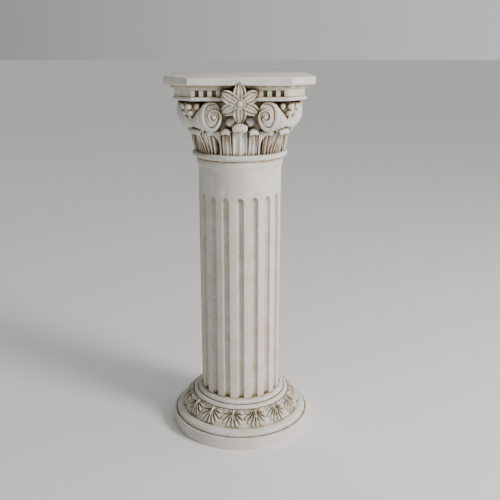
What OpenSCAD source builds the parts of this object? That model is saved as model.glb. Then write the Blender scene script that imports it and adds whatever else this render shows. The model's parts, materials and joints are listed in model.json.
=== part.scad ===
// A cast pedestal column: a round moulded foot with a belt of hanging palmettes, a fluted shaft,
// and a leafy capital with volutes and flowers under an eight-sided slab. It is one casting.
// The foot stands on z = 0, the axis of the shaft is the Z axis, and one flower faces -Y.

/* [Overall] */
// Height of the whole column
column_h = 800; // [720:5:1000]
// Width of the top slab across its flats
slab_w = 300; // [285:1:330]
// Diameter of the round foot
foot_d = 320; // [300:1:400]

/* [Foot] */
// Height of the straight side of the foot
rim_h = 24; // [16:0.5:32]
// Radius that rounds the top edge of the rim
rim_round = 4; // [2:0.5:6]
// Width of the lip between the rim and the groove inside it
lip_w = 2; // [1:0.5:4]
// Depth of the grooves between the mouldings
groove_depth = 1.6; // [0.8:0.1:2.4]
// Width of the swelling ledge inside the rim
ledge_w = 16; // [12:0.5:20]
// Rise of the ledge
ledge_rise = 12; // [8:0.5:16]
// Width of the leaf belt, from its foot to its top
belt_w = 21; // [16:0.5:26]
// Rise of the leaf belt
belt_rise = 31; // [26:0.5:36]
// Width of the ridge ring above the belt
ridge_w = 9; // [6:0.5:12]
// Rise of the ridge ring
ridge_rise = 5.5; // [4:0.5:8]
// Rise of the collar between the ridge ring and the shaft
collar_rise = 9; // [6:0.5:12]
// Number of palmettes round the foot
palmette_count = 15; // [12:1:18]
// How far the palmettes stand out from the belt
palmette_relief = 4; // [2:0.5:6]
// Turn of the first palmette from the front
palmette_turn = -8.5; // [-12:0.5:12]

/* [Shaft] */
// Diameter of the shaft
shaft_d = 181; // [174:0.5:188]
// Number of flutes
flute_count = 18; // [12:1:22]
// Width of a flute
flute_w = 16; // [14:0.5:20]
// Depth of a flute
flute_depth = 7.5; // [5:0.25:7.75]
// Plain step between the collar and the flutes
flute_step = 1; // [0.5:0.5:6]
// Height of the plain neck above the flutes
neck_h = 70; // [50:1:90]

/* [Astragal] */
// Height of the band under the astragal
fillet_h = 10; // [6:0.5:14]
// How far the band stands out from the shaft
fillet_out = 3.5; // [2:0.5:6]
// Height of the round astragal
astragal_h = 14; // [10:0.5:18]
// How far the astragal stands out from the shaft
astragal_out = 13; // [9:0.5:15]

/* [Slab] */
// Thickness of the top slab
slab_t = 16; // [12:0.5:22]
// Length of the cut across each corner of the slab, along its sides
slab_cut = 50; // [40:0.5:60]
// Radius of the slab's edges
slab_round = 3; // [1:0.5:5]
// Height of the cove under the slab
cove_h = 8; // [6:0.5:9]
// How far the cove stands out from the block
cove_out = 9.5; // [7:0.5:11]
// Height of the plain fillet above the dentils
frieze_h = 3; // [2:0.5:6]
// Height of the dentils
dentil_h = 11; // [9:0.5:14]
// Height of the band below the dentils
band_h = 8; // [5:0.5:10]
// Width of the dentil block across its flats
block_w = 259; // [245:1:275]
// Cut at the corners of the dentil block
block_cut = 35; // [28:0.5:42]
// How far the lower band stands out from the block
band_out = 4; // [2:0.5:5]
// Distance from one dentil gap to the next
dentil_pitch = 16.6; // [14:0.1:20]
// Width of a gap between dentils
dentil_gap = 7.3; // [5:0.1:9]
// Depth of a gap between dentils
dentil_depth = 5; // [3:0.5:8]

/* [Bell] */
// Radius of the bell where the leaves spring
bell_foot_r = 93; // [88:0.5:98]
// Radius of the bell under the block
bell_head_r = 106; // [100:0.5:112]
// Thickness of a leaf in front of the bell
leaf_t = 4.5; // [3:0.5:7]
// Half the width of the leaf in the middle of each side
main_leaf_w = 15.5; // [13:0.5:16]
// Radius that a middle leaf curls out to
main_leaf_r = 117; // [112:0.5:122]
// Height of a middle leaf's curl above the astragal
main_leaf_h = 66; // [60:0.5:70]
// Half the width of the leaves beside it
side_leaf_w = 10.5; // [8:0.5:12]
// Height of the side leaves' curls
side_leaf_h = 56; // [50:0.5:60]
// Half the width of the leaves under the volutes
stalk_leaf_w = 9.5; // [8:0.5:12]
// Height of the curls under the volutes
stalk_leaf_h = 46; // [42:0.5:50]
// Half the width of the corner leaves
corner_leaf_w = 13.5; // [11:0.5:16]
// Radius that a corner leaf curls out to
corner_leaf_r = 131; // [124:0.5:138]
// Height of the corner leaves' curls
corner_leaf_h = 46; // [42:0.5:50]

/* [Volutes] */
// Distance from one volute's centre to the middle of its side
volute_x = 57.5; // [53:0.5:60]
// Half the height of a volute
volute_r = 30; // [27:0.5:32]
// Half the width of a volute against half its height
volute_squeeze = 0.72; // [0.66:0.02:0.8]
// How far the volutes' faces stand from the axis
volute_out = 122; // [118:0.5:126]
// Turns of the spiral
spiral_turns = 1.7; // [1.4:0.1:2]
// Height of the spiral's ridge
spiral_rise = 4; // [2:0.5:6]
// Diameter of the ball in the eye of a volute
eye_d = 11; // [8:0.5:14]

/* [Flower] */
// Length of a petal from the flower's centre
petal_len = 39; // [34:0.5:41]
// Width of a petal
petal_w = 24; // [20:0.5:27]
// Diameter of the ball in the middle of a flower
ball_d = 14; // [10:0.5:18]
// How far the flower's centre stands out from the axis
flower_out = 143; // [140:0.5:146]
// Tilt of the flower, its upper edge forward
flower_tilt = 16; // [10:1:20]
// Diameter of the buds below the flower
bud_d = 19; // [14:0.5:22]

/* [Hidden] */
$fn = 48;
STONE = [0.86, 0.83, 0.78];
SIDES = 4;
// The flowers stand on the front and the back only.
FLOWER_SIDES = [0, 2];
PETALS = 6;
PETAL_LAP = 0.8;
LOBES = 7;
BALL_SIDES = 8;
BALL_STATIONS = [60, 20, -20, -60];
VOLUTE_STEPS = 12;
// Each station of the cove: how far out and how far up, as shares of its size.
COVE = [[-0.2, -0.1], [0.12, 0.16], [0.26, 0.45], [0.55, 0.72], [1, 0.9], [1, 1.3]];
MAIN_CURL = 7.5;
SIDE_CURL = 6.5;
STALK_CURL = 5;
CORNER_CURL = 6;
SIDE_LEAF_TURN = 16;
STALK_LEAF_TURN = 31;
BUD_TURN = 11;
CURL_ANGLES = [170, 100, 30, -40];
EYE_SHIFT = 7;
SPIRAL_START = 110;
SPIRAL_STEPS = 36;
// Each station of a horn: across, up, wider, higher and how far behind the face.
HORN = [[8, -12, 0, -11, 45], [9, -10, 6, -7, 25], [3, -3, 3, -2, 12], [0, 0, 0, 0, 3], [0, 0, -2, -2, 0]];
BURIED = 14;
BELL_SWEEP = -6;
LEAF_RIB = 1.2;
LIP_RIB = 0.3;
LIP_SHARE = 0.97;
TIP_SHARE = 0.8;
SPIRAL_GAP = 0.6;
SPIRAL_THINS = 0.4;
BOSS_SHARE = 1.6;
BOSS = 30;
PETAL_BUMPS = [[-1, -3], [-0.85, 0.5], [-0.35, -1], [0, 0.5], [0.35, -1], [0.85, 0.5], [1, -3]];

shaft_r = shaft_d / 2;
foot_r = foot_d / 2;
groove_r = foot_r - rim_round - lip_w;
ledge_foot = [groove_r - groove_depth, rim_h + rim_round];
belt_foot = ledge_foot + [-ledge_w, ledge_rise];
belt_head = belt_foot + [-belt_w, belt_rise];
ridge_foot = belt_head + [-groove_depth, 0];
ridge_head = ridge_foot + [-ridge_w, ridge_rise];
collar_foot = ridge_head + [-groove_depth, 0];
shaft_z = collar_foot[1] + collar_rise;

block_h = cove_h + frieze_h + dentil_h + band_h;
block_z = column_h - slab_t - block_h;
bell_h = 111;
petal_back = 16;
BELT_OUT = [belt_rise, belt_w] / norm([belt_rise, belt_w]);
bell_z = block_z - bell_h;
astragal_z = bell_z - astragal_h;
flute_top_z = astragal_z - fillet_h - neck_h;
volute_z = block_z - 30;
flower_z = block_z - 4;

function lerp(p, q, t) = p + t * (q - p);
function bow(p, q, out, n = 5) =
    let (d = (q - p) / norm(q - p))
    [for (i = [0:n]) lerp(p, q, i / n) + out * sin(180 * i / n) * [d[1], -d[0]]];
function arc(c, r, from, to, n = 4) =
    [for (i = [0:n]) let (a = lerp(from, to, i / n)) c + r * [cos(a), sin(a)]];

// Joins rings of points, each with the same number, into one closed solid.
module loft(rings) {
    n = len(rings[0]);
    m = len(rings);
    walls = [for (i = [0:m - 2], j = [0:n - 1])
        let (k = (j + 1) % n, a = i * n + j, b = i * n + k, c = b + n, d = a + n)
        each [[a, c, b], [a, d, c]]];
    first_cap = [for (j = [0:n - 1]) j];
    last_cap = [for (j = [n - 1:-1:0]) (m - 1) * n + j];
    polyhedron([for (r = rings) each r], concat(walls, [first_cap, last_cap]), convexity = 4);
}

// Places its children on the side that faces the given turn, at a radius and a height.
module at(turn, r, z) {
    rotate([0, 0, turn]) translate([0, -r, z]) children();
}

// A faceted ball whose poles lie along Y.
module ball(d) {
    loft([for (t = BALL_STATIONS)
        [for (i = [0:BALL_SIDES - 1]) let (a = 360 * i / BALL_SIDES)
            d / 2 * [cos(t) * cos(a), sin(t), cos(t) * sin(a)]]]);
}

function corners(width, cut) =
    let (h = width / 2, c = h - cut)
    [[h, c], [c, h], [-c, h], [-h, c], [-h, -c], [-c, -h], [c, -h], [h, -c]];

module octagon(width, cut, from_z, to_z) {
    translate([0, 0, from_z]) linear_extrude(to_z - from_z) polygon(corners(width, cut));
}

// The foot, the shaft, the astragal and the bell, turned in one profile.
module turned_body() {
    foot = concat(
        [[0, 0], [foot_r, 0]],
        arc([foot_r - rim_round, rim_h], rim_round, 0, 90),
        [[groove_r, rim_h + rim_round], [groove_r - groove_depth / 2, ledge_foot[1] - groove_depth]],
        bow(ledge_foot, belt_foot, ledge_w / 6),
        bow(belt_foot + [-palmette_relief, 1], belt_head, belt_w / 6),
        [ridge_foot - [0, groove_depth]],
        bow(ridge_foot, ridge_head, ridge_w / 8),
        [collar_foot - [0, groove_depth]],
        bow(collar_foot, [shaft_r, shaft_z], ridge_w / 8));
    band_r = shaft_r + fillet_out;
    astragal_r = shaft_r + astragal_out;
    band_z = astragal_z - fillet_h;
    head = concat(
        [[shaft_r, band_z - 2 * fillet_out]],
        bow([shaft_r, band_z - fillet_out], [band_r, band_z], fillet_out / 3, 3),
        [[band_r, astragal_z - 1]],
        bow([band_r + 1, astragal_z], [astragal_r, astragal_z + astragal_h * 0.55], 1.5),
        bow([astragal_r, astragal_z + astragal_h * 0.6], [bell_foot_r + leaf_t, bell_z], 1.5),
        [[bell_foot_r, bell_z]]);
    bell = bow([bell_foot_r, bell_z + 1], [bell_head_r, block_z + 1], BELL_SWEEP);
    rotate_extrude() polygon(concat(foot, head, bell, [[0, block_z + 1]]));
}

// The hollow of one flute: round at its top end and flat at its foot.
module flute() {
    r = flute_w / 2;
    foot_z = shaft_z + flute_step;
    translate([0, 0, foot_z]) cylinder(r = r, h = flute_top_z - r - foot_z);
    translate([0, 0, flute_top_z - r]) sphere(r);
}

module flutes() {
    axis_r = shaft_r + flute_w / 2 - flute_depth;
    for (i = [0:flute_count - 1]) at(360 * i / flute_count, axis_r, 0) flute();
}

module slab() {
    z = column_h - slab_t;
    octagon(slab_w, slab_cut, z + slab_round, column_h - slab_round);
    for (i = [1:3])
        let (a = 30 * i, in = slab_round * (1 - cos(a)), up = slab_round * sin(a))
        octagon(slab_w - 2 * in, slab_cut - in / 2, z + slab_round - up,
            column_h - slab_round + up);
}

module dentil_gaps() {
    first_gap = floor((block_w / 2 - block_cut - dentil_gap) / dentil_pitch);
    for (side = [0:SIDES - 1], i = [-first_gap:first_gap])
        at(90 * side, block_w / 2, block_z + band_h)
            translate([i * dentil_pitch - dentil_gap / 2, -1, 0])
                cube([dentil_gap, dentil_depth + 1, dentil_h]);
}

module block() {
    dentil_z = block_z + band_h;
    difference() {
        octagon(block_w, block_cut, block_z, dentil_z + dentil_h + frieze_h);
        dentil_gaps();
    }
    octagon(block_w + 2 * band_out, block_cut + band_out, block_z, dentil_z);
    cove_z = dentil_z + dentil_h + frieze_h;
    loft([for (c = COVE)
        [for (p = corners(block_w + 2 * cove_out * c[0], block_cut + cove_out * c[0] / 2))
            [p[0], p[1], cove_z + cove_h * c[1]]]]);
}

// One leaf of the bell: it stands against the bell and its top curls out over itself.
BUMPS = [[-1, -1], [-0.8, 1], [-0.4, -1], [0, 1], [0.4, -1], [0.8, 1], [1, -1]];
function leaf_row(front, back, w, relief) =
    let (u = (front - back) / norm(front - back))
    concat(
        [for (b = BUMPS) let (x = w * b[0], p = front + relief * b[1] * u)
            [x, -(p[0] - x * x / (2 * front[0])), p[1]]],
        [for (s = [0.8, -0.8]) [w * s, -back[0], back[1]]]);

module bell_leaf(half_w, out_r, rise, curl) {
    foot = [bell_foot_r + leaf_t, bell_z - 1];
    curl_c = [out_r - curl, bell_z + rise - curl];
    neck = curl_c - [curl, curl / 2];
    body = bow(foot, neck, norm(neck - foot) / 14, 2);
    loft(concat(
        [for (i = [0:2]) leaf_row(body[i], body[i] - [BURIED, 0], half_w, LEAF_RIB)],
        [for (a = CURL_ANGLES) leaf_row(curl_c + curl * [cos(a), sin(a)], curl_c + [cos(a), sin(a)],
            half_w * (a < 0 ? TIP_SHARE : LIP_SHARE), LIP_RIB)]));
}

module bell_leaves() {
    for (side = [0:SIDES - 1]) rotate([0, 0, 90 * side]) {
        bell_leaf(main_leaf_w, main_leaf_r, main_leaf_h, MAIN_CURL);
        rotate([0, 0, 45]) bell_leaf(corner_leaf_w, corner_leaf_r, corner_leaf_h, CORNER_CURL);
        for (s = [-1, 1]) {
            rotate([0, 0, SIDE_LEAF_TURN * s])
                bell_leaf(side_leaf_w, main_leaf_r - 3, side_leaf_h, SIDE_CURL);
            rotate([0, 0, STALK_LEAF_TURN * s])
                bell_leaf(stalk_leaf_w, main_leaf_r - 1, stalk_leaf_h, STALK_CURL);
        }
    }
}

// One side's volute: a squeezed round boss that flares back to the corner, with a spiral on it.
function volute_ring(c, half_w, half_h, y) =
    [for (i = [0:VOLUTE_STEPS - 1]) let (a = 360 * i / VOLUTE_STEPS)
        [c[0] + half_w * cos(a), -y, c[1] + half_h * sin(a)]];

module horn() {
    w = volute_r * volute_squeeze;
    loft([for (h = HORN)
        volute_ring([volute_x + h[0], volute_z + h[1]], w + h[2], volute_r + h[3], volute_out - h[4])]);
}

function spiral_point(t, in) =
    let (a = SPIRAL_START - 360 * spiral_turns * t, r = (volute_r - in) * (1 - t) + eye_d / 3 * t)
    [r * volute_squeeze * cos(a) - EYE_SHIFT * t, r * sin(a)];

module spiral() {
    w = volute_r / 7;
    outer = [for (i = [0:SPIRAL_STEPS]) spiral_point(i / SPIRAL_STEPS, SPIRAL_GAP)];
    inner = [for (i = [SPIRAL_STEPS:-1:0])
        spiral_point(i / SPIRAL_STEPS, w * (1 - SPIRAL_THINS * i / SPIRAL_STEPS))];
    translate([volute_x, -(volute_out - spiral_rise), volute_z]) rotate([90, 0, 0])
        linear_extrude(2 * spiral_rise) polygon(concat(outer, inner));
}

module volute() {
    horn();
    spiral();
    translate([volute_x - EYE_SHIFT, -(volute_out + 1), volute_z]) ball(eye_d);
}

module volutes() {
    for (side = [0:SIDES - 1]) rotate([0, 0, 90 * side]) {
        volute();
        mirror([1, 0, 0]) volute();
    }
}

// A six-petalled flower that leans forward at its top, with a ball in its middle.
function petal_ring(t) =
    let (w = petal_w / 2 * pow(sin(180 * pow(t, 0.8)), 0.6) + 0.8,
        x = petal_len * (0.1 + 0.9 * t), top = 3 - 5 * pow(t, 2), relief = min(1, 3.3 - 3 * t))
    [for (s = PETAL_BUMPS) [x, w * s[0], top + relief * s[1]],
        [x - 2 * t, w * 0.7, -petal_back], [x - 2 * t, -w * 0.7, -petal_back]];

module petal() {
    loft([for (t = [1, 0.75, 0.4, 0]) petal_ring(t)]);
}

module flower() {
    translate([0, -flower_out, flower_z]) rotate([90 + flower_tilt, 0, 0]) {
        for (i = [0:PETALS - 1])
            translate([0, 0, i % 2 * PETAL_LAP]) rotate([0, 0, 90 + 360 * i / PETALS]) petal();
        rotate([90, 0, 0]) ball(ball_d);
        translate([0, 0, -petal_back - BOSS])
            cylinder(d = ball_d * BOSS_SHARE, h = petal_back + BOSS, $fn = PETALS * 2);
    }
}

module flowers() {
    for (side = FLOWER_SIDES) rotate([0, 0, 90 * side]) flower();
    for (side = [0:SIDES - 1], s = [-1, 1]) rotate([0, 0, 90 * side + BUD_TURN * s])
        translate([0, bud_d / 5 - bell_head_r, volute_z - bud_d / 2]) ball(bud_d);
}

// One palmette: a fan of lobes that hangs from the top of the belt.
function lobe(s) = cos(180 * LOBES * s);
function palmette_point(s, t) =
    let (p = lerp(belt_head, belt_foot, t) + palmette_relief * BELT_OUT * (0.5 + 0.4 * sin(180 * t)),
        tip = 1 - 0.32 * s * s * t - 0.05 * (1 - lobe(s)) * t,
        q = lerp(belt_head, p, tip) + 0.8 * lobe(s) * t * BELT_OUT,
        a = 180 / palmette_count * s * (0.97 - 0.1 * t))
    [q[0] * sin(a), -q[0] * cos(a), q[1]];
function palmette_back(s, t) =
    let (p = lerp(belt_head, belt_foot, t) - [belt_w / 3, belt_rise / 6], a = 180 / palmette_count * s * 0.8)
    [p[0] * sin(a), -p[0] * cos(a), p[1]];

module palmette() {
    loft([for (t = [1, 0.5, 0.06])
        concat([for (i = [0:2 * LOBES]) palmette_point(i / LOBES - 1, t)],
            [palmette_back(0.8, t), palmette_back(-0.8, t)])]);
}

module palmettes() {
    for (i = [0:palmette_count - 1])
        rotate([0, 0, palmette_turn + 360 * i / palmette_count]) palmette();
}

color(STONE) {  // column
    difference() {
        turned_body();
        flutes();
    }
    palmettes();
    bell_leaves();
    volutes();
    flowers();
    block();
    slab();
}
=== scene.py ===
import json
import math

import bpy
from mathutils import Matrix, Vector

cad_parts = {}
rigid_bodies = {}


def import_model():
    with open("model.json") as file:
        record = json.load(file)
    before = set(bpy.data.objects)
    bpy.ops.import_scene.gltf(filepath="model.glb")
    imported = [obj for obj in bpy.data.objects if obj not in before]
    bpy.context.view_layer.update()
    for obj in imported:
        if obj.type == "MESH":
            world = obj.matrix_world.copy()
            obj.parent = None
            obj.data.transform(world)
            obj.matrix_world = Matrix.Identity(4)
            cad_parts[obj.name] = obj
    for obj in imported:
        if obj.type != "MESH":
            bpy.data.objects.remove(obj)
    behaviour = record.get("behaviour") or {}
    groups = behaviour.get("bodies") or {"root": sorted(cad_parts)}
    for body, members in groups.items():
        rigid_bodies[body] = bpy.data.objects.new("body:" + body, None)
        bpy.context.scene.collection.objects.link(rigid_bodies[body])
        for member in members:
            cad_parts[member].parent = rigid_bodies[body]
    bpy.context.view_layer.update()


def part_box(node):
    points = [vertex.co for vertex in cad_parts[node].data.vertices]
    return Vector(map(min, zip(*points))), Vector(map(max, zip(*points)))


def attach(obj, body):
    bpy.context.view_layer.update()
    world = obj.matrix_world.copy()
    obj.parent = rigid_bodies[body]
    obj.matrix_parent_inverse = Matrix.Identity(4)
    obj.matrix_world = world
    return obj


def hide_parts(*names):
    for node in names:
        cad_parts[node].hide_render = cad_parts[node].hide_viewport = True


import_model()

# A cast-stone pedestal column: a moulded foot with a belt of palmettes, a fluted shaft and a leafy
# capital with volutes and flowers under an eight-sided slab. Sizes below are in millimetres and
# turns in degrees; MM turns them to the frame's metres. The front faces -Y.
MM = 0.001
SIDES = 4
# Heights of the dentil block with its slab, and of the leafy bell under them.
HEAD_H = 46
BELL_H = 111
column_low, column_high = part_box("column")
TOP = column_high.z / MM
FOOT_R = min(column_high.x, -column_low.x) / MM
BLOCK_Z = TOP - HEAD_H
BELL_Z = BLOCK_Z - BELL_H


# ---- small helpers ----

def lerp(a, b, t):
    return a + (b - a) * t


def smooth(t):
    t = min(1.0, max(0.0, t))
    return t * t * (3 - 2 * t)


def hump(x, centre, width):
    """A smooth bump of height 1 at centre."""
    return math.exp(-((x - centre) / width) ** 2)


def polar(r, turn, z):
    """The point at a radius and a turn from the front."""
    a = math.radians(turn)
    return (r * math.sin(a), -r * math.cos(a), z)


def turned(points, turn):
    """Points turned about the column's axis."""
    c, s = math.cos(math.radians(turn)), math.sin(math.radians(turn))
    return [(c * x - s * y, s * x + c * y, z) for x, y, z in points]


def clear_selection():
    bpy.ops.object.select_all(action="DESELECT")


def pick(piece):
    clear_selection()
    piece.select_set(True)
    bpy.context.view_layer.objects.active = piece


def solid(name, points, faces):
    """A mesh object made of points in millimetres."""
    mesh = bpy.data.meshes.new(name)
    mesh.from_pydata([Vector(p) * MM for p in points], [], faces)
    piece = bpy.data.objects.new(name, mesh)
    bpy.context.collection.objects.link(piece)
    return piece


def loft(name, rings, around=False):
    """Joins rings with as many points each. A ring runs anticlockwise as seen from the last ring."""
    n = len(rings[0])
    m = len(rings)
    faces = []
    for i in range(m if around else m - 1):
        a = i * n
        b = (i + 1) % m * n
        faces += [(a + j, a + (j + 1) % n, b + (j + 1) % n, b + j) for j in range(n)]
    if not around:
        faces.append(tuple(range(n - 1, -1, -1)))
        faces.append(tuple(range((m - 1) * n, m * n)))
    return solid(name, [p for ring in rings for p in ring], faces)


def four_sides(make):
    """Calls make with the turn of each side of the capital."""
    for side in range(SIDES):
        make(360 / SIDES * side)


# ---- foot, shaft, astragal and bell, spun from one profile ----

SHAFT_FOOT_Z = 89
SHAFT_FOOT_R = 91
SHAFT_TOP_Z = 606
SHAFT_TOP_R = 90
FLUTES = 18
FLUTE_R = 8
FLUTE_OFF = 0.5
FLUTE_FOOT_Z = SHAFT_FOOT_Z + 1.5
FLUTE_TOP_Z = 552
FLUTE_ARCH = (0, 24, 45, 63, 78)
FLUTE_LIP = 0.6
FLUTE_STEPS = 18
FLUTE_INNER = 6
FOOT_EDGE = 1.5
RIM_MID_Z = 12
RIM_Z = 28
RIM_ROUND = 4
RIM_GROOVE = [(155.4, 28), (154.4, 27.3), (153.2, 27), (152.4, 27.4), (151.8, 28.8)]
LEDGE_R = 136
LEDGE_Z = 28
LEDGE_W = 16.5
LEDGE_RISE = 12
FOOT_CORE = [(134.4, 40), (133.6, 41), (131, 50), (126.5, 58.5), (120, 66), (112.4, 71.6), (110.6, 71.4)]
RIDGE_R = 103.6
RIDGE_Z = 73.2
RIDGE_W = 7.6
RIDGE_RISE = 7.2
RIDGE_CREASE = [(102, 78.9), (101.2, 78.8), (100.6, 79.2)]
COLLAR_Z = 79.6
COLLAR_W = 10
COLLAR_RISE = 9.4
BAND_R = 93.6
BAND_Z = 616
ASTRAGAL_Z = 629
ASTRAGAL_R = 94.6
ASTRAGAL_MID_Z = 637.2
ASTRAGAL_W = 8.4
ASTRAGAL_RISE = 6.6


def shaft_r(z):
    return lerp(SHAFT_FOOT_R, SHAFT_TOP_R, (z - SHAFT_FOOT_Z) / (BAND_Z - SHAFT_FOOT_Z))


def quarter(cr, cz, rr, rz, start, end, steps):
    """Points of an ellipse's arc about (cr, cz), from one angle to another."""
    angles = [math.radians(lerp(start, end, i / steps)) for i in range(steps + 1)]
    return [(cr + rr * math.cos(a), cz + rz * math.sin(a)) for a in angles]


def flute_heights():
    """Heights of the rings that shape the flutes: their flat foot, long run and round top."""
    centre = FLUTE_TOP_Z - FLUTE_R
    foot = [FLUTE_FOOT_Z - FLUTE_LIP, FLUTE_FOOT_Z]
    run = [lerp(FLUTE_FOOT_Z, centre, i / 4) for i in (1, 2, 3)]
    return foot + run + [centre + FLUTE_R * math.sin(math.radians(a)) for a in FLUTE_ARCH]


def body_profile():
    """Radius and height of every point of the outline, from the underside's centre to the block."""
    foot = [(0, 0), (FOOT_R - FOOT_EDGE, 0), (FOOT_R, FOOT_EDGE), (FOOT_R, RIM_MID_Z)]
    foot += quarter(FOOT_R - RIM_ROUND, RIM_Z - RIM_ROUND, RIM_ROUND, RIM_ROUND, 0, 90, 5)
    foot += RIM_GROOVE
    foot += quarter(LEDGE_R, LEDGE_Z, LEDGE_W, LEDGE_RISE, 6, 90, 7)
    foot += FOOT_CORE
    ridge = quarter(RIDGE_R, RIDGE_Z, RIDGE_W, RIDGE_RISE, -10, 100, 7) + RIDGE_CREASE
    collar = quarter(SHAFT_FOOT_R + 0.2, COLLAR_Z, COLLAR_W, COLLAR_RISE, 6, 90, 7)
    shaft = [(shaft_r(z), z) for z in flute_heights()]
    shaft += [(shaft_r(FLUTE_TOP_Z + 1), FLUTE_TOP_Z + 1), (SHAFT_TOP_R, SHAFT_TOP_Z)]
    band = [(90.4, 609.5), (91.6, 613), (93.4, BAND_Z), (BAND_R, BAND_Z + 4), (BAND_R, ASTRAGAL_Z - 0.8)]
    band += [(93.1, ASTRAGAL_Z), (ASTRAGAL_R, ASTRAGAL_Z + 0.5)]
    band += quarter(ASTRAGAL_R, ASTRAGAL_MID_Z, ASTRAGAL_W, ASTRAGAL_RISE, -72, 90, 9)
    bell = [(93.5, BELL_Z + 0.6), (92.6, BELL_Z + 3), (93.5, 672), (96.5, 705), (101, 732)]
    bell += [(106, BLOCK_Z + 2), (0, BLOCK_Z + 2)]
    return foot + ridge + collar + shaft + band + bell


def flute_half_width(z):
    over = max(0.0, z - (FLUTE_TOP_Z - FLUTE_R))
    return math.sqrt(max(0.6, FLUTE_R ** 2 - FLUTE_OFF ** 2 - over ** 2))


def carve_flutes(piece):
    """Moves the shaft's points so that each flute is a round hollow with a crisp edge."""
    pitch = 360 / FLUTES
    low, high = FLUTE_FOOT_Z - 1, FLUTE_TOP_Z - 0.01
    for v in piece.data.vertices:
        x, y, z = v.co / MM
        r = math.hypot(x, y)
        if not (low < z < high and abs(r - shaft_r(z)) < 1):
            continue
        turn = math.degrees(math.atan2(x, -y))
        flute = round(turn / pitch)
        step = (turn / pitch - flute) * FLUTE_STEPS
        half_pitch = math.pi * r / FLUTES
        half_w = flute_half_width(z)
        inside = abs(step) < FLUTE_INNER + 0.01
        if inside:
            across = half_w * math.sin(math.pi / 2 * step / FLUTE_INNER)
        else:
            share = (abs(step) - FLUTE_INNER) / (FLUTE_STEPS / 2 - FLUTE_INNER)
            across = math.copysign(lerp(half_w, half_pitch, share), step)
        over = max(0.0, z - (FLUTE_TOP_Z - FLUTE_R))
        hollow = math.sqrt(max(0.0, FLUTE_R ** 2 - across ** 2 - over ** 2)) - FLUTE_OFF
        depth = max(0.0, hollow) if inside and z > FLUTE_FOOT_Z - 0.1 else 0.0
        v.co = Vector(polar(r - depth, flute * pitch + math.degrees(across / r), z)) * MM


def turned_body():
    profile = body_profile()
    edges = [(i, i + 1) for i in range(len(profile) - 1)]
    mesh = bpy.data.meshes.new("turned_body")
    mesh.from_pydata([(r * MM, 0, z * MM) for r, z in profile], edges, [])
    piece = bpy.data.objects.new("turned_body", mesh)
    bpy.context.collection.objects.link(piece)
    pick(piece)
    bpy.ops.object.mode_set(mode="EDIT")
    bpy.ops.mesh.select_all(action="SELECT")
    bpy.ops.mesh.spin(steps=FLUTES * FLUTE_STEPS, angle=math.tau, center=(0, 0, 0), axis=(0, 0, 1))
    bpy.ops.mesh.select_all(action="SELECT")
    bpy.ops.mesh.remove_doubles(threshold=0.00001)
    bpy.ops.mesh.normals_make_consistent(inside=False)
    bpy.ops.object.mode_set(mode="OBJECT")
    carve_flutes(piece)
    return piece


# ---- belt of palmettes round the foot ----

PALMETTES = 15
PALMETTE_STEPS = 34
PALMETTE_TURN = -8.5
PALMETTE_RELIEF = 8
PALMETTE_HALF = 0.86
PALMETTE_ROOT = 5
PALMETTE_REACH = 38
LOBE_TURN = 20
BELT_ROWS = 27
BELT_DROP = 44
BELT_LINE = [(114.2, 74.6), (121, 70.6), (128, 63.6), (133, 55), (136, 46), (137.2, 41)]
BELT_FOOT_Z = 38
BELT_BACK = [(118, BELT_FOOT_Z), (106, 60)]


def belt_point(t):
    """The belt's outer line at t, from its top to its foot, and the direction straight out of it."""
    spans = [math.dist(a, b) for a, b in zip(BELT_LINE, BELT_LINE[1:])]
    left = t * sum(spans)
    for a, b, span in zip(BELT_LINE, BELT_LINE[1:], spans):
        if left <= span or b == BELT_LINE[-1]:
            break
        left -= span
    share = left / span
    out = lerp(50, 8, t)
    return (lerp(a[0], b[0], share), lerp(a[1], b[1], share)), (
        math.cos(math.radians(out)), math.sin(math.radians(out)))


def palmette_height(s, t):
    """How far the relief stands out, 0 on the ground and 1 on the envelope. s runs across a palmette
    from -1 to 1, t from the belt's top to its foot."""
    x, y = abs(s) * PALMETTE_HALF, (t * BELT_DROP - PALMETTE_ROOT) / PALMETTE_REACH
    reach = math.hypot(x, y)
    angle = math.degrees(math.atan2(x, y))
    fan = 0.0
    if angle < 108:
        lobe = abs(math.cos(math.radians(angle * 180 / LOBE_TURN)))
        tip = lerp(1.02, 0.9, smooth(angle / 80)) - 0.1 * (1 - lobe) ** 2
        tip += 0.1 * max(0.0, math.sin(math.radians(2 * angle)))
        crown = 0.02 + 0.98 * lobe ** 0.75
        fan = smooth((tip - reach) / 0.07) * lerp(0.5, crown, smooth((reach - 0.1) / 0.16))
        fan *= lerp(1, 0.86, smooth((angle - 60) / 45))
    stem = hump(x, 0, 0.1) * smooth((0.62 - y) / 0.15)
    shoulder = 0.55 * smooth((0.2 - y - 0.1 * x) / 0.12) * smooth((y + 0.16) / 0.08)
    eye = hump(x, 0.9, 0.13) * hump(y, 0.24, 0.12)
    return min(1.0, max(-0.35, max(fan, stem, shoulder) - 1.4 * eye))


def palmette_belt():
    sections = []
    for i in range(PALMETTES * PALMETTE_STEPS):
        s = (i % PALMETTE_STEPS) / PALMETTE_STEPS * 2 - 1
        turn = PALMETTE_TURN + 360 * (i / PALMETTE_STEPS - 0.5) / PALMETTES
        section = []
        for k in range(BELT_ROWS + 1):
            t = k / BELT_ROWS
            (r, z), (out_r, out_z) = belt_point(t)
            sink = PALMETTE_RELIEF * (1 - palmette_height(s, t))
            section.append(polar(r - sink * out_r, turn, z - sink * out_z))
        foot_r = math.hypot(*section[-1][:2])
        section.append(polar(foot_r - 1, turn, BELT_FOOT_Z))
        section += [polar(r, turn, z) for r, z in BELT_BACK]
        sections.append(section[::-1])
    return loft("palmette_belt", sections, around=True)


# ---- leaves of the bell ----

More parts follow.
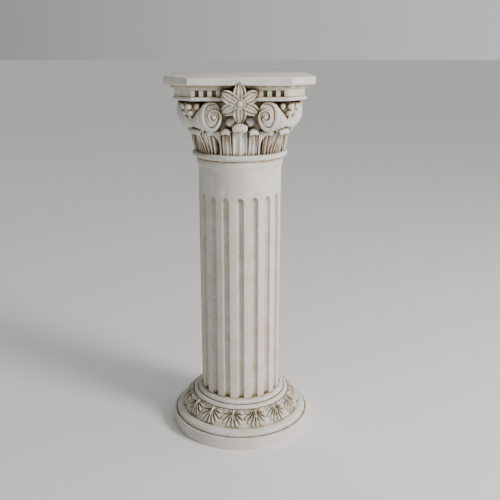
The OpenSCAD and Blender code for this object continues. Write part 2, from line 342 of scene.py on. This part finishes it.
# Each leaf's half width, the radius its curl stands out to, its height and its curl's own radius.
MIDDLE_LEAF = (15.8, 118, 66, 9)
SIDE_LEAF = (9.6, 114.5, 56, 7)
SIDE_LEAF_TURN = 15
CORNER_LEAF = (15, 132, 57, 8)
CORNER_LEAF_FOOT_R = 82
LEAF_FOOT_Z = BELL_Z - 1
LEAF_FOOT_R = 97
LEAF_DEPTH = 14
LEAF_DOME = 3.0
LEAF_ACROSS = 24
LEAF_UP = 9
LEAF_CURL = [178, 155, 130, 105, 82, 60, 38, 16, -6, -28, -48]


def plain_relief(u, v):
    """Raised borders that grow into the sides of the hood, and a rib that ends in a point."""
    border = lerp(2.4, 6.5, v ** 3) * hump(abs(u), 0.87, lerp(0.13, 0.1, v))
    rib = 2.6 * hump(u, 0, lerp(0.22, 0.12, v)) * (1 - smooth((v - 0.7) / 0.25))
    edge = -3.0 * smooth((abs(u) - 0.9) / 0.1)
    return border + rib + edge - lerp(1.8, 0.8, v)


def fanned_relief(u, v):
    """Narrow ribs side by side."""
    return 1.3 * math.cos(math.pi * 5 * u) - 2.5 * smooth((abs(u) - 0.9) / 0.1)


def leaf(turn, half_w, out_r, rise, curl, relief, foot_r=LEAF_FOOT_R):
    """A leaf that stands against the bell and curls over at its top."""
    curl_r, curl_z = out_r - curl, BELL_Z + rise - curl
    neck_r, neck_z = curl_r - curl, curl_z - curl / 2
    us = [lerp(-1, 1, i / LEAF_ACROSS) for i in range(LEAF_ACROSS + 1)]
    rings = []

    def row(front, back, width, height, drop):
        length = math.dist(front, back)
        out_r, out_z = (front[0] - back[0]) / length, (front[1] - back[1]) / length
        ring = []
        for u in us:
            x = width * u
            r = front[0] + height(u) * out_r - x * x / (2 * front[0])
            ring.append((x, -r, front[1] + height(u) * out_z - drop * u * u))
        for u in (0.8, -0.8):
            ring.append((width * u, -(back[0] - 3), back[1] - drop * u * u))
        rings.append(turned(ring, turn))

    for i in range(LEAF_UP):
        v = i / LEAF_UP
        bulge = math.dist((foot_r, LEAF_FOOT_Z), (neck_r, neck_z)) / 16 * math.sin(math.pi * v)
        front = (lerp(foot_r, neck_r, v) + bulge, lerp(LEAF_FOOT_Z, neck_z, v))
        row(front, (front[0] - LEAF_DEPTH, front[1]), half_w, lambda u: relief(u, v), v * LEAF_DOME)
    for a in LEAF_CURL:
        c, s = math.cos(math.radians(a)), math.sin(math.radians(a))
        row((curl_r + curl * c, curl_z + curl * s), (curl_r + c, curl_z + s),
            half_w * lerp(1.0, 0.86, smooth((40 - a) / 90)), lambda u: -0.22 * curl * u ** 4, LEAF_DOME)
    loft("leaf", rings)


FAN_R = 96.5
FAN_LEAN = 5
FAN_HALF = 17.7
FAN_RIB = 4.6
FAN_CORNER = 17
FAN_CORNER_HALF = 14
FAN_BACK_R = 84
FAN_BACK_HALF = FAN_HALF * 0.9
FAN_H = 46
FAN_STEPS = 80
FAN_ROWS = 12


def fan(turn):
    """The wide leaf behind a corner leaf, with ribs that spread as they rise."""
    rings = []
    for i in range(FAN_ROWS + 1):
        v = i / FAN_ROWS
        z = LEAF_FOOT_Z + FAN_H * v
        ring = []
        for k in range(FAN_STEPS + 1):
            off = lerp(-FAN_HALF, FAN_HALF, k / FAN_STEPS)
            middle = hump(off, 0, FAN_CORNER_HALF)
            rib = (1.8 + 1.2 * middle) * math.cos(math.tau * off / FAN_RIB) - 1.0
            corner = FAN_CORNER * middle * v ** 1.5
            ring.append(polar(FAN_R + FAN_LEAN * v + corner + rib, turn + off * lerp(1, 0.97, v), z))
        ring += [polar(FAN_BACK_R, turn + FAN_BACK_HALF, z), polar(FAN_BACK_R, turn - FAN_BACK_HALF, z)]
        rings.append(ring)
    loft("fan", rings)


STALK_H = 45
STALK_R = 96.5
STALK_BACK_R = 86
STALK_LIP_RISE = 2.2
STALK_LIP_IN = (0, 0.6, 3.5)
STALK_ROWS = 14
STALK_STEPS = 12


def stalk(turn, s):
    """The smooth stalk between a side leaf and a fan: it opens like a trumpet under the volute."""
    rings = []
    for i in range(STALK_ROWS + 3):
        v = min(1, i / STALK_ROWS)
        over = max(0, i - STALK_ROWS)
        inner, outer = lerp(22, 22.6, v), 24.4 + 11 * v ** 5
        low_r, high_r = STALK_R + 4.5 * v, STALK_R + 2 + 16 * v ** 4
        z = LEAF_FOOT_Z + STALK_H * v + STALK_LIP_RISE * over
        ring = []
        for k in range(STALK_STEPS + 1):
            t = k / STALK_STEPS
            r = lerp(low_r, high_r, t ** 1.4) - STALK_LIP_IN[over] + 0.8 * math.sin(math.pi * t) * (1 - v)
            ring.append(polar(r, s * lerp(inner, outer - over, t), z + 3 * t * v ** 4))
        ring += [polar(max(STALK_BACK_R, high_r - 9), s * lerp(inner, outer, 0.9), z),
                 polar(STALK_BACK_R, s * inner, z)]
        rings.append(turned(ring if s > 0 else ring[::-1], turn))
    loft("stalk", rings)


def leaves():
    def side(turn):
        leaf(turn, *MIDDLE_LEAF, plain_relief)
        leaf(turn + 45, *CORNER_LEAF, fanned_relief, CORNER_LEAF_FOOT_R)
        fan(turn + 45)
        for s in (-1, 1):
            leaf(turn + SIDE_LEAF_TURN * s, *SIDE_LEAF, plain_relief)
            stalk(turn, s)
    four_sides(side)


# ---- volutes, their horns and the corner clusters ----

VOLUTE_X = 57.8
VOLUTE_Z = 723
VOLUTE_OUT = 129
VOLUTE_RX = 21.5
VOLUTE_RZ = 31.5
DISC_BACK = 3.8
CHANNEL = 5.2
EYE_X = 50.5
EYE_R = 5.5
EYE_BACK = 4.5
CREASE_X = 94.5
CREASE_Z = 711
SPIRAL_START = 125
SPIRAL_SWEEP = 650
SPIRAL_STEPS = 78
SPIRAL_SIDES = 10
# Centre and half sizes of the berries beside a volute; the last one is the mass that they sit on.
BERRIES = [((100.5, -111, 743), (7.4, 7, 7)), ((97.5, -108, 730.5), (7.4, 7, 5.4)),
           ((84, -113.5, 743), (6.4, 6, 7.4)), ((92, -99.5, 739), (20, 11.5, 17))]
CORNER_BERRY = ((0, -138, 747), (8, 7, 9))
# Radius, height and half width along the slim leaf on a corner.
TONGUE = [(128, 706, 2), (133, 713, 3), (138, 720, 3.8), (143, 728, 4), (147, 737, 3.6), (149, 745, 2.8),
          (150, 752, 1.4)]
TONGUE_SIDES = 12


def face_out(x, z):
    """How far a volute's face stands out: it is fullest above its eye and falls away below it."""
    across, up = (x - EYE_X) / 28, (z - VOLUTE_Z) / 30
    return VOLUTE_OUT + 3 * up - (17 if up < 0 else 4.5) * up * up - 5.5 * across * across


def ellipse(cx, cy, cz, rx, rz, n=32):
    """A ring of points in a plane that faces the front."""
    return [(cx + rx * math.cos(math.tau * i / n), -cy, cz + rz * math.sin(math.tau * i / n))
            for i in range(n)]


def on_face(ring, back):
    """The ring moved to that distance behind the volute's face."""
    return [(x, -(face_out(x, z) - back), z) for x, y, z in ring]


def place_loft(name, rings, turn, s):
    """A loft on the right-hand side of a flower, or mirrored to its left."""
    if s < 0:
        rings = [[(-x, y, z) for x, y, z in ring[::-1]] for ring in rings]
    loft(name, [turned(ring, turn) for ring in rings])


def horn(turn, s):
    """The body of a volute, from the crease at the corner to its dished face."""
    disc = on_face(ellipse(VOLUTE_X, 0, VOLUTE_Z, VOLUTE_RX, VOLUTE_RZ), DISC_BACK)
    crease = ellipse(CREASE_X, CREASE_X, CREASE_Z, 4, 9)
    rings = [ellipse(90, 82, CREASE_Z - 2, 6, 7)]
    for t in (0, 0.15, 0.3, 0.45, 0.6, 0.75, 0.88, 1):
        swell = 6 * math.sin(math.pi * t)
        rings.append([(lerp(a[0], b[0], t ** 0.9), lerp(a[1], b[1], t) - swell, lerp(a[2], b[2], t ** 0.95))
                      for a, b in zip(crease, disc)])
    for share in (0.9, 0.75, 0.55, 0.35, 0.15):
        ring = ellipse(lerp(EYE_X, VOLUTE_X, share), 0, VOLUTE_Z, VOLUTE_RX * share, VOLUTE_RZ * share)
        rings.append(on_face(ring, CHANNEL - 2.4 * (1 - share)))
    place_loft("horn", rings, turn, s)
    back = ellipse(VOLUTE_X + 2, 80, VOLUTE_Z - 8, VOLUTE_RX - 2, VOLUTE_RZ - 8)
    front = on_face(ellipse(VOLUTE_X, 0, VOLUTE_Z, VOLUTE_RX - 1, VOLUTE_RZ - 1), 5)
    place_loft("boss", [back, front], turn, s)


def spiral(turn, s):
    """A rounded ridge: a wide turn round the volute, then a small one that winds into its eye."""
    rings = []
    for i in range(SPIRAL_STEPS + 1):
        swept = SPIRAL_SWEEP * i / SPIRAL_STEPS
        a = math.radians(SPIRAL_START - swept)
        inner = smooth((swept - 245) / 120)
        c, d = math.cos(a), math.sin(a)
        wide = 1.9 + 1.2 * c - 0.7 * d
        half = (2.5 + (1 - inner) * wide) * smooth(0.25 + swept / 40)
        small = lerp(14.5, 6, max(0, (swept - 305) / (SPIRAL_SWEEP - 305)) ** 1.4)
        cx = lerp(VOLUTE_X, EYE_X, inner)
        rx = lerp(VOLUTE_RX + 0.5 - half, small * 0.93, inner)
        rz = lerp(VOLUTE_RZ + 0.5 - half, small, inner)
        if i == SPIRAL_STEPS:
            half *= 0.5
        ring = []
        for j in range(SPIRAL_SIDES):
            b = -math.tau * j / SPIRAL_SIDES
            x = cx + (rx + half * math.cos(b)) * math.cos(a)
            z = VOLUTE_Z + (rz + half * math.cos(b)) * math.sin(a)
            ring.append((x, -(face_out(x, z) - 4.2 + 3.8 * math.sin(b)), z))
        rings.append(ring)
    place_loft("spiral", rings, turn, s)


def ball(turn, centre, size, n=14):
    """A ball or an egg: centre and half sizes in millimetres, turned to its place."""
    clear_selection()
    bpy.ops.mesh.primitive_uv_sphere_add(segments=n, ring_count=n // 2 + 1, radius=1)
    piece = bpy.context.active_object
    points = turned([tuple(c + s * p for c, s, p in zip(centre, size, v.co))
                     for v in piece.data.vertices], turn)
    for v, p in zip(piece.data.vertices, points):
        v.co = Vector(p) * MM


def tongue(turn):
    """The slim leaf on a corner that ends just under the block's lower band."""
    angles = [math.tau * j / TONGUE_SIDES for j in range(TONGUE_SIDES)]
    rings = []
    for r, z, half in TONGUE:
        ring = [polar(r + 3 * math.sin(a), math.degrees(half * math.cos(a) / r), z - 2 * math.sin(a))
                for a in angles]
        rings.append(turned(ring[::-1], turn + 45))
    loft("tongue", rings)


def volutes():
    def side(turn):
        for s in (-1, 1):
            horn(turn, s)
            spiral(turn, s)
            ball(turn, (EYE_X * s, EYE_BACK - VOLUTE_OUT, VOLUTE_Z), (EYE_R, 4.6, EYE_R))
            for (x, y, z), size in BERRIES:
                ball(turn, (x * s, y, z), size)
        ball(turn + 45, *CORNER_BERRY)
        tongue(turn)
    four_sides(side)


# ---- flowers and buds ----

FLOWER_OUT = 143
FLOWER_Z = 751
FLOWER_TILT = 16
FLOWER_BOSS_R = 11
FLOWER_RING_R = 8.6
FLOWER_RING_TUBE = 1.8
FLOWER_EYE = (7, 7, 7)
PETALS = 6
PETAL_HALF = 12.4
PETAL_LEN = 40
LOW_PETAL_LEN = 43
PETAL_BACK = -14
PETAL_ACROSS = 24
PETAL_ALONG = 14
# The turn, centre and half sizes of the buds beside a middle leaf and of those beside a corner leaf.
BUD_TURN = 11
BUD = ((0, -103.5, 711), (10, 9.5, 10))
CORNER_BUD_TURN = 9
CORNER_BUD = ((0, -106, 692), (12, 10, 11))
ROSETTE_Z = 735
ROSETTE_R = 15
ROSETTE_OUT = 109
ROSETTE_BEAD = (8, 6, 8)
ROSETTE_EYE_OUT = 112
ROSETTE_EYE = (7, 6, 7)


def petal_half_width(t, pointed):
    blunt = 0.62 if pointed else 0.42
    skew = 0.8 if pointed else 0.95
    return PETAL_HALF * max(0.0, math.sin(math.pi * t ** skew)) ** blunt + 0.7


def petal_relief(u, t):
    """A raised rim, a groove inside it and two ribs, which fade out at both ends of the petal."""
    rim = 2.0 * hump(abs(u), 0.86, 0.12)
    groove = -1.6 * hump(abs(u), 0.6, 0.14)
    ribs = 1.4 * hump(abs(u), 0.25, 0.14) - 1.3 * hump(u, 0, 0.1) * (1 - t * 0.6)
    edge = 2.0 * smooth((abs(u) - 0.92) / 0.08)
    return (rim + groove + ribs) * smooth(t * 4) * smooth((1.04 - t) * 7) - edge


def flower_points(points, turn):
    """Puts points from the flower's own plane, with z straight out of it, on their side."""
    a = math.radians(FLOWER_TILT)
    c, s = math.cos(a), math.sin(a)
    return turned([(x, -FLOWER_OUT - z * c - y * s, FLOWER_Z + y * c - z * s) for x, y, z in points], turn)


def petal(turn, spin, pointed, lift):
    """A petal turned to its place in the flower; the one that points straight down is longer."""
    length = LOW_PETAL_LEN if spin == 270 else PETAL_LEN
    a = math.radians(spin)
    c, s = math.cos(a), math.sin(a)
    rings = []
    for k in range(PETAL_ALONG + 1):
        t = 1 - k / PETAL_ALONG
        x = length * (0.1 + 0.9 * t)
        w = petal_half_width(t, pointed)
        top = 3.2 - 5.5 * t * t + lift
        ring = []
        for i in range(PETAL_ACROSS + 1):
            u = lerp(-1, 1, i / PETAL_ACROSS)
            ring.append((x, w * u, top + petal_relief(u, t) + 0.8 * u * u))
        ring += [(x - 2 * t, w * 0.7, PETAL_BACK), (x - 2 * t, -w * 0.7, PETAL_BACK)]
        rings.append(flower_points([(c * p - s * q, s * p + c * q, h) for p, q, h in ring], turn))
    loft("petal", rings)


def flowers():
    def buds(turn):
        for s in (-1, 1):
            ball(turn + BUD_TURN * s, *BUD)
            ball(turn + 45 + CORNER_BUD_TURN * s, *CORNER_BUD)

    def rosette(turn):
        """The low rosette of beads on a side that has no flower."""
        for i in range(PETALS):
            a = math.tau * (i + 0.5) / PETALS
            x, z = ROSETTE_R * math.sin(a), ROSETTE_Z + ROSETTE_R * math.cos(a)
            ball(turn, (x, -ROSETTE_OUT, z), ROSETTE_BEAD)
        ball(turn, (0, -ROSETTE_EYE_OUT, ROSETTE_Z), ROSETTE_EYE)

    def flower(turn):
        """Six petals on a boss, with a ring and a round eye in the middle."""
        for i in range(PETALS):
            petal(turn, 90 + 360 * i / PETALS, i % 3 == 0, 0.5 * (i % 2))
        circle = [(math.cos(math.tau * j / 16), math.sin(math.tau * j / 16)) for j in range(16)]
        boss = [[(FLOWER_BOSS_R * c, FLOWER_BOSS_R * s, h) for c, s in circle] for h in (-46, -2)]
        loft("flower_boss", [flower_points(ring, turn) for ring in boss])
        ring = []
        for a in [math.tau * j / 32 for j in range(32)]:
            section = []
            for b in [math.tau * k / 8 for k in range(7, -1, -1)]:
                r = FLOWER_RING_R + FLOWER_RING_TUBE * math.cos(b)
                section.append((r * math.cos(a), r * math.sin(a), 2.6 + FLOWER_RING_TUBE * math.sin(b)))
            ring.append(flower_points(section, turn))
        loft("flower_ring", ring, around=True)
        eye = flower_points([(0, 0, 1.5)], 0)[0]
        ball(turn, eye, FLOWER_EYE, 20)

    four_sides(buds)
    for turn in (90, 270):
        rosette(turn)
    for turn in (0, 180):
        flower(turn)


# ---- dentil block and slab ----

SLAB_W = 300
SLAB_CUT = 50
SLAB_H = 16
SLAB_ROUND = 3
BLOCK_W = 259
BLOCK_CUT = 35
# Width, corner cut and depth below the column's top of the cove's edges, from its foot up.
COVE = [(257, 34, 26), (260.5, 35.5, 24), (263.5, 37, 22.6), (268, 39, 21.6), (273, 41, 21),
        (276, 42, 20.6), (276.6, 42, 17.4), (281, 43, 16.2)]
# Width, corner cut and height above the block's foot of the lower band's edges.
LOWER_BAND = [(261, 36, 0), (266, 38.5, 1.5), (267.4, 39, 4), (266, 38.5, 6.5), (261, 36, 8)]
DENTIL_PITCH = 16.6
DENTIL_GAP = 8
DENTIL_DEPTH = 5
DENTIL_Z = BLOCK_Z + 8
DENTIL_H = 14.5
GAPS_EACH_WAY = 5


def octagon(width, cut, z):
    """A square ring with its corners cut off by that much along each side."""
    h = width / 2
    c = h - cut
    return [(h, -c, z), (h, c, z), (c, h, z), (-c, h, z), (-h, c, z), (-h, -c, z), (-c, -h, z), (c, -h, z)]


def rounded_edge(z, angles):
    """Rings of the slab's rounded edge about a height, one for each angle."""
    rings = []
    for a in [math.radians(angle) for angle in angles]:
        inset = SLAB_ROUND * (1 - math.cos(a))
        rings.append(octagon(SLAB_W - 2 * inset, SLAB_CUT - inset, z + SLAB_ROUND * math.sin(a)))
    return rings


def block_and_slab():
    slab = [octagon(width, cut, TOP - down) for width, cut, down in COVE]
    slab += rounded_edge(TOP - (SLAB_H - SLAB_ROUND), (-90, -60, -30, 0))
    slab += rounded_edge(TOP - SLAB_ROUND, (0, 30, 60, 90))
    loft("slab", slab)
    loft("band", [octagon(width, cut, BLOCK_Z + up) for width, cut, up in LOWER_BAND])
    block = loft("block", [octagon(BLOCK_W, BLOCK_CUT, BLOCK_Z + 4), octagon(BLOCK_W, BLOCK_CUT, TOP - 23)])
    low, high = DENTIL_Z, DENTIL_Z + DENTIL_H
    front, back = -BLOCK_W / 2 - 1.5, -BLOCK_W / 2 + DENTIL_DEPTH
    gaps = []
    for side in range(SIDES):
        for i in range(-GAPS_EACH_WAY, GAPS_EACH_WAY + 1):
            left, right = i * DENTIL_PITCH - DENTIL_GAP / 2, i * DENTIL_PITCH + DENTIL_GAP / 2
            rings = [[(left, y, low), (right, y, low), (right, y, high), (left, y, high)]
                     for y in (back, front)]
            gaps.append(loft("dentil_gap", [turned(ring, 90 * side) for ring in rings]))
    combine(block, gaps, "DIFFERENCE")


def combine(piece, others, operation):
    """Adds the others to the piece or cuts them from it, and takes them away."""
    group = bpy.data.collections.new("parts")
    bpy.context.scene.collection.children.link(group)
    for other in others:
        group.objects.link(other)
    modifier = piece.modifiers.new("join", "BOOLEAN")
    modifier.operation = operation
    modifier.operand_type = "COLLECTION"
    modifier.collection = group
    modifier.solver = "MANIFOLD"
    pick(piece)
    bpy.ops.object.modifier_apply(modifier=modifier.name)
    for other in others:
        bpy.data.objects.remove(other)
    bpy.data.collections.remove(group)


# ---- material ----

def srgb(code):
    """A hex colour as linear numbers."""
    parts = [int(code[i:i + 2], 16) / 255 for i in (1, 3, 5)]
    return tuple(p / 12.92 if p <= 0.04045 else ((p + 0.055) / 1.055) ** 2.4 for p in parts) + (1.0,)


def per_mm(size):
    """A noise texture's scale for features of that many millimetres."""
    return 1 / (size * MM)


def add_node(tree, kind, inputs, stops=(), **settings):
    """Adds a node with its settings, its links and, on a ramp, its stops."""
    node = tree.nodes.new(kind)
    for name, value in settings.items():
        setattr(node, name, value)
    for name, value in inputs.items():
        if isinstance(value, bpy.types.NodeSocket):
            tree.links.new(value, node.inputs[name])
        else:
            node.inputs[name].default_value = value
    for i, (place, colour) in enumerate(stops):
        if i < 2:
            stop = node.color_ramp.elements[i]
            stop.position = place
        else:
            stop = node.color_ramp.elements.new(place)
        stop.color = colour
    return node


# The wash's strength comes from ambient occlusion at two reaches. It is the brown wash that stays in the
# hollows, and partly painted shade in the flutes, creases and recesses.
HOLLOW_REACH = 9
SHADE_REACH = 34
HOLLOW_WASH_AND_SHADE = 0.82
SHADE_WASH = 0.55
# Ramp from clean stone to the darkest wash. Its darker stops are brown wash and partly painted shade.
WASH_AND_PAINTED_SHADE_RAMP = [(0.0, "#dbd9d5"), (1.0, "#4c3b22"), (0.2, "#d6d2cb"), (0.36, "#bab09b"), (0.52, "#9a8764"),
             (0.74, "#71603f")]
WARM_TINT = "#e0d3c4"
BLOTCH_SIZE = 38
MOTTLE_SIZE = 9
STREAK_SIZE = 11
GRAIN_SIZE = 1.6
GRAIN_DEPTH = 0.4


def cast_stone():
    """Cast stone: cement and marble dust poured in a mould, off-white and matt, with a brown
    antique wash that was wiped off the high places and stays in the hollows. The wash follows
    ambient occlusion, so its darkening of the flutes, creases and recesses is partly painted shade."""
    material = bpy.data.materials.new("cast_stone_antique_wash_and_painted_shade")
    material.use_nodes = True
    tree = material.node_tree
    shader = tree.nodes["Principled BSDF"]
    place = add_node(tree, "ShaderNodeTexCoord", {}).outputs["Object"]
    fine = add_node(tree, "ShaderNodeAmbientOcclusion", {"Distance": HOLLOW_REACH * MM},
                    samples=8, only_local=True)
    broad = add_node(tree, "ShaderNodeAmbientOcclusion", {"Distance": SHADE_REACH * MM},
                     samples=8, only_local=True)
    blotch = add_node(tree, "ShaderNodeTexNoise",
                      {"Vector": place, "Scale": per_mm(BLOTCH_SIZE), "Detail": 4.0})
    mottle = add_node(tree, "ShaderNodeTexNoise",
                      {"Vector": place, "Scale": per_mm(MOTTLE_SIZE), "Detail": 5.0})
    streak_place = add_node(tree, "ShaderNodeMapping", {"Vector": place, "Scale": (1, 1, 0.08)})
    streak = add_node(tree, "ShaderNodeTexNoise",
                      {"Vector": streak_place.outputs[0], "Scale": per_mm(STREAK_SIZE), "Detail": 3.0})
    # How enclosed each point is. This sets the brown wash in the hollows and the painted shade there.
    hollow = add_node(tree, "ShaderNodeMath", {0: 1.0, 1: fine.outputs["AO"]}, operation="SUBTRACT")
    shade = add_node(tree, "ShaderNodeMath", {0: 1.0, 1: broad.outputs["AO"]}, operation="SUBTRACT")
    hollow_part = add_node(tree, "ShaderNodeMath", {0: hollow.outputs[0], 1: HOLLOW_WASH_AND_SHADE},
                           operation="MULTIPLY")
    depth = add_node(tree, "ShaderNodeMath",
                     {0: shade.outputs[0], 1: SHADE_WASH, 2: hollow_part.outputs[0]},
                     operation="MULTIPLY_ADD")
    noise = add_node(tree, "ShaderNodeMath", {0: blotch.outputs["Fac"], 1: 0.45, 2: mottle.outputs["Fac"]},
                     operation="MULTIPLY_ADD")
    noise_all = add_node(tree, "ShaderNodeMath", {0: streak.outputs["Fac"], 1: 0.6, 2: noise.outputs[0]},
                         operation="MULTIPLY_ADD")
    spread = add_node(tree, "ShaderNodeMapRange",
                      {"Value": noise_all.outputs[0], "From Min": 0.7, "From Max": 1.35, "To Min": 0.6,
                       "To Max": 1.35})
    # The final amount of brown wash and painted shade at each point.
    wash_and_painted_shade = add_node(tree, "ShaderNodeMath", {0: depth.outputs[0], 1: spread.outputs[0]},
                    operation="MULTIPLY")
    colour = add_node(tree, "ShaderNodeValToRGB", {"Fac": wash_and_painted_shade.outputs[0]},
                      stops=[(spot, srgb(code)) for spot, code in WASH_AND_PAINTED_SHADE_RAMP])
    tint = add_node(tree, "ShaderNodeMapRange",
                    {"Value": blotch.outputs["Fac"], "From Min": 0.4, "From Max": 0.65, "To Min": 0.0,
                     "To Max": 0.3})
    toned = add_node(tree, "ShaderNodeMix", {0: tint.outputs[0], 6: colour.outputs[0], 7: srgb(WARM_TINT)},
                     data_type="RGBA", blend_type="MULTIPLY")
    grain = add_node(tree, "ShaderNodeTexNoise",
                     {"Vector": place, "Scale": per_mm(GRAIN_SIZE), "Detail": 3.0})
    relief = add_node(tree, "ShaderNodeBump",
                      {"Height": grain.outputs["Fac"], "Strength": 0.25, "Distance": GRAIN_DEPTH * MM})
    rough = add_node(tree, "ShaderNodeMapRange",
                     {"Value": mottle.outputs["Fac"], "From Min": 0.3, "From Max": 0.7, "To Min": 0.72,
                      "To Max": 0.9})
    tree.links.new(toned.outputs[2], shader.inputs["Base Color"])
    tree.links.new(relief.outputs[0], shader.inputs["Normal"])
    tree.links.new(rough.outputs[0], shader.inputs["Roughness"])
    shader.inputs["Specular IOR Level"].default_value = 0.35
    return material


# ---- the whole column ----

SMOOTH_ANGLE = 38


def column():
    """Joins all the carved parts to the turned body as the one casting."""
    loaded = set(bpy.data.objects)
    body = turned_body()
    palmette_belt()
    leaves()
    volutes()
    flowers()
    block_and_slab()
    parts = [o for o in bpy.data.objects if o not in loaded and o != body]
    combine(body, parts, "UNION")
    body.name = "column_casting"
    body.data.name = "column_casting"
    pick(body)
    bpy.ops.object.shade_smooth_by_angle(angle=math.radians(SMOOTH_ANGLE))
    body.data.materials.clear()
    body.data.materials.append(cast_stone())
    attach(body, "root")
    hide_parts("column")


# ---- floor, light and camera, in metres ----

FLOOR_SIZE = 90
LAMP_PLACE = (2.4, -1.6, 1.8)
LAMP_AIM = (0, 0, 0.45)
LAMP_SIZE = 1.0
LAMP_POWER = 108
CAMERA_PLACE = (0, -1.488, 0.856)
CAMERA_TILT = 73.47
CAMERA_TURN = -0.843
LENS = 49.4
SENSOR_WIDTH = 36


def floor():
    clear_selection()
    bpy.ops.mesh.primitive_plane_add(size=FLOOR_SIZE, location=(0, 0, 0))
    piece = bpy.context.active_object
    piece.name = "floor"
    material = bpy.data.materials.new("floor_painted_white")
    material.use_nodes = True
    shader = material.node_tree.nodes["Principled BSDF"]
    shader.inputs["Base Color"].default_value = srgb("#f6f5f3")
    shader.inputs["Roughness"].default_value = 0.9
    piece.data.materials.append(material)


def light(place, aim, size, power, colour):
    """A round lamp that faces the point it aims at."""
    clear_selection()
    bpy.ops.object.light_add(type="AREA", location=place)
    lamp = bpy.context.active_object
    lamp.data.shape = "DISK"
    lamp.data.size = size
    lamp.data.energy = power
    lamp.data.color = srgb(colour)[:3]
    lamp.rotation_euler = (Vector(aim) - Vector(place)).to_track_quat("-Z", "Y").to_euler()


def studio():
    """A sky that is bright to the right and dim and greenish to the left, one lamp and the camera."""
    world = bpy.data.worlds.new("studio")
    bpy.context.scene.world = world
    world.use_nodes = True
    tree = world.node_tree
    way = add_node(tree, "ShaderNodeTexCoord", {}).outputs["Generated"]
    parts = add_node(tree, "ShaderNodeSeparateXYZ", {"Vector": way})
    bright = add_node(tree, "ShaderNodeMapRange",
                      {"Value": parts.outputs["X"], "From Min": -0.9, "From Max": 1.0, "To Min": 0.09,
                       "To Max": 1.0})
    cast = add_node(tree, "ShaderNodeMapRange",
                    {"Value": parts.outputs["X"], "From Min": -0.8, "From Max": 0.2, "To Min": 0.0,
                     "To Max": 1.0})
    colour = add_node(tree, "ShaderNodeMix",
                      {0: cast.outputs[0], 6: srgb("#e9f4de"), 7: srgb("#fdfcff")}, data_type="RGBA")
    tree.links.new(colour.outputs[2], tree.nodes["Background"].inputs["Color"])
    tree.links.new(bright.outputs[0], tree.nodes["Background"].inputs["Strength"])
    light(LAMP_PLACE, LAMP_AIM, LAMP_SIZE, LAMP_POWER, "#fff9f0")
    clear_selection()
    bpy.ops.object.camera_add(location=CAMERA_PLACE,
                              rotation=(math.radians(CAMERA_TILT), 0, math.radians(CAMERA_TURN)))
    camera = bpy.context.active_object
    camera.data.lens = LENS
    camera.data.sensor_width = SENSOR_WIDTH
    bpy.context.scene.camera = camera


column()
floor()
studio()
